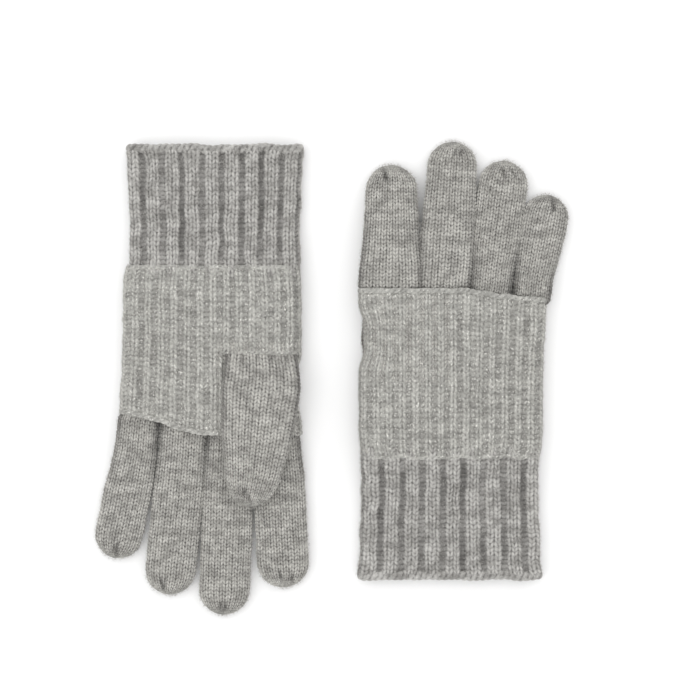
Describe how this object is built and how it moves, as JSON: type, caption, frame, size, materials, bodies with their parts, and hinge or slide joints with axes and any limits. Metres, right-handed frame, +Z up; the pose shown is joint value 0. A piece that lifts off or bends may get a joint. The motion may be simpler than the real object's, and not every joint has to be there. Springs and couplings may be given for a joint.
{
  "type": "knitted gloves",
  "caption": "Pair of knitted gloves laid flat, one palm up and one palm down, with jersey fingers, wide-ribbed cuffs and a loose ribbed band with metallic yarn over each hand.",
  "frame": {"origin": "middle of the pair on the surface that it lies on", "axes": "+Z up, away from the surface; +Y from the left glove's fingers to its cuff; +X from the left glove to the right glove"},
  "size_m": [0.2548, 0.256, 0.0202],
  "materials": {
    "jersey_knit": "light grey heathered wool jersey, matt and slightly fuzzy",
    "rib_knit": "light grey heathered wool rib, matt",
    "metallic_knit": "pale grey chunky wool rib with a fine metallic thread that glints"
  },
  "bodies": {
    "left_glove": {"left_hand": "jersey_knit", "left_band": "metallic_knit", "left_band_wrist_edge": "metallic_knit", "left_band_finger_edge": "metallic_knit", "left_thumb_opening_edge": "metallic_knit", "left_index_finger_base": "jersey_knit", "left_middle_finger_base": "jersey_knit", "left_ring_finger_base": "jersey_knit", "left_little_finger_base": "jersey_knit"},
    "left_wrist": {"left_cuff": "rib_knit", "left_cuff_hem": "rib_knit"},
    "left_index_finger": {"left_index_finger_end": "jersey_knit"},
    "left_middle_finger": {"left_middle_finger_end": "jersey_knit"},
    "left_ring_finger": {"left_ring_finger_end": "jersey_knit"},
    "left_little_finger": {"left_little_finger_end": "jersey_knit"},
    "left_thumb": {"left_thumb": "jersey_knit"},
    "right_glove": {"right_hand": "jersey_knit", "right_band": "metallic_knit", "right_band_wrist_edge": "metallic_knit", "right_band_finger_edge": "metallic_knit", "right_thumb_opening_edge": "metallic_knit", "right_index_finger_base": "jersey_knit", "right_middle_finger_base": "jersey_knit", "right_ring_finger_base": "jersey_knit", "right_little_finger_base": "jersey_knit"},
    "right_wrist": {"right_cuff": "rib_knit", "right_cuff_hem": "rib_knit"},
    "right_index_finger": {"right_index_finger_end": "jersey_knit"},
    "right_middle_finger": {"right_middle_finger_end": "jersey_knit"},
    "right_ring_finger": {"right_ring_finger_end": "jersey_knit"},
    "right_little_finger": {"right_little_finger_end": "jersey_knit"},
    "right_thumb": {"right_thumb": "jersey_knit"}
  },
  "joints": [
    {"name": "right_glove_lift", "type": "slide", "parent": "left_glove", "child": "right_glove", "axis": [0, 0, 1], "range_m": [0, 0.1]},
    {"name": "left_cuff_fold", "type": "hinge", "parent": "left_glove", "child": "left_wrist", "pos_m": [-0.06469, 0.06026, 0.0128], "axis": [1, 0, 0], "range_deg": [0, 60]},
    {"name": "left_index_finger_bend", "type": "hinge", "parent": "left_glove", "child": "left_index_finger", "pos_m": [-0.02781, -0.07377, 0.009], "axis": [-0.9986, -0.0523, 0], "range_deg": [0, 90]},
    {"name": "left_middle_finger_bend", "type": "hinge", "parent": "left_glove", "child": "left_middle_finger", "pos_m": [-0.05684, -0.07634, 0.009], "axis": [-0.9993, 0.0366, 0], "range_deg": [0, 90]},
    {"name": "left_ring_finger_bend", "type": "hinge", "parent": "left_glove", "child": "left_ring_finger", "pos_m": [-0.08409, -0.07123, 0.009], "axis": [-0.9945, 0.1045, 0], "range_deg": [0, 90]},
    {"name": "left_little_finger_bend", "type": "hinge", "parent": "left_glove", "child": "left_little_finger", "pos_m": [-0.11082, -0.06212, 0.009], "axis": [-0.9796, 0.2011, 0], "range_deg": [0, 90]},
    {"name": "left_thumb_swing", "type": "hinge", "parent": "left_glove", "child": "left_thumb", "pos_m": [-0.0381, -0.0069, 0.0162], "axis": [0, 0, 1], "range_deg": [0, 50]},
    {"name": "right_cuff_fold", "type": "hinge", "parent": "right_glove", "child": "right_wrist", "pos_m": [0.06431, -0.04264, 0.0152], "axis": [-1, 0, 0], "range_deg": [0, 60]},
    {"name": "right_index_finger_bend", "type": "hinge", "parent": "right_glove", "child": "right_index_finger", "pos_m": [0.03216, 0.0816, 0.01734], "axis": [0.9999, -0.0105, 0], "range_deg": [0, 90]},
    {"name": "right_middle_finger_bend", "type": "hinge", "parent": "right_glove", "child": "right_middle_finger", "pos_m": [0.06334, 0.08581, 0.01675], "axis": [0.9976, -0.0698, 0], "range_deg": [0, 90]},
    {"name": "right_ring_finger_bend", "type": "hinge", "parent": "right_glove", "child": "right_ring_finger", "pos_m": [0.08972, 0.08103, 0.01048], "axis": [0.9907, -0.1357, 0], "range_deg": [0, 90]},
    {"name": "right_little_finger_bend", "type": "hinge", "parent": "right_glove", "child": "right_little_finger", "pos_m": [0.11302, 0.07243, 0.00926], "axis": [0.9803, -0.1977, 0], "range_deg": [0, 90]},
    {"name": "right_thumb_swing", "type": "hinge", "parent": "right_glove", "child": "right_thumb", "pos_m": [0.03733, 0.02448, 0.004], "axis": [0, 0, 1], "range_deg": [0, 50]}
  ]
}
